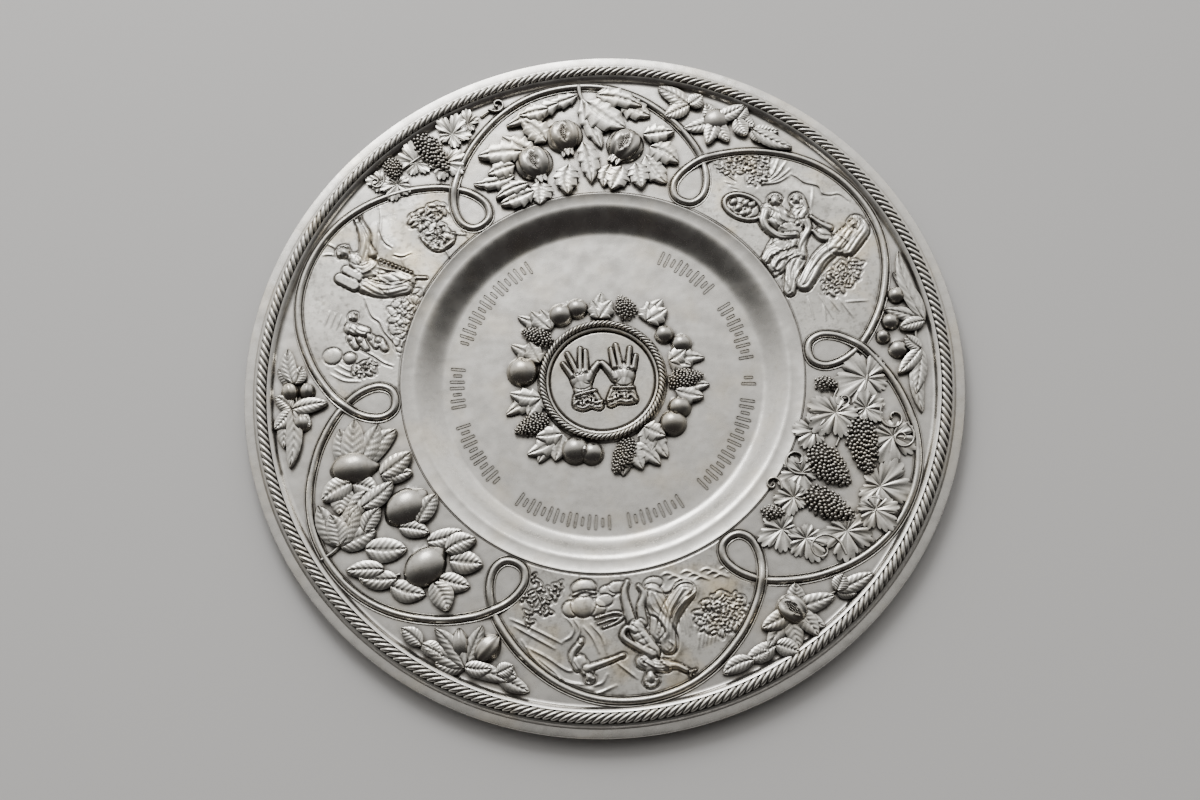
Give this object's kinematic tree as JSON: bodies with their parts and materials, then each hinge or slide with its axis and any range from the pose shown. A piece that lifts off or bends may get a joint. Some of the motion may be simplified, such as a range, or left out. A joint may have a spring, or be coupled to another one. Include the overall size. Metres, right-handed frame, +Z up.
{
  "type": "embossed silver dish",
  "caption": "Large round shallow dish with a wide border chased with fruit, leaves, interlaced straps and small scenes, a rope rim, and a wreathed medallion in its well.",
  "frame": {"origin": "middle of the flat underside of the well, on the surface that the dish stands on", "axes": "+Z up through the open side of the dish, +Y towards the pomegranate panel, +X towards the plums"},
  "size_m": [0.5, 0.5, 0.0207],
  "materials": {
    "silver": "old silver, softly polished high points with dark tarnish in the recesses"
  },
  "bodies": {
    "root": {"dish": "silver"}
  },
  "joints": []
}
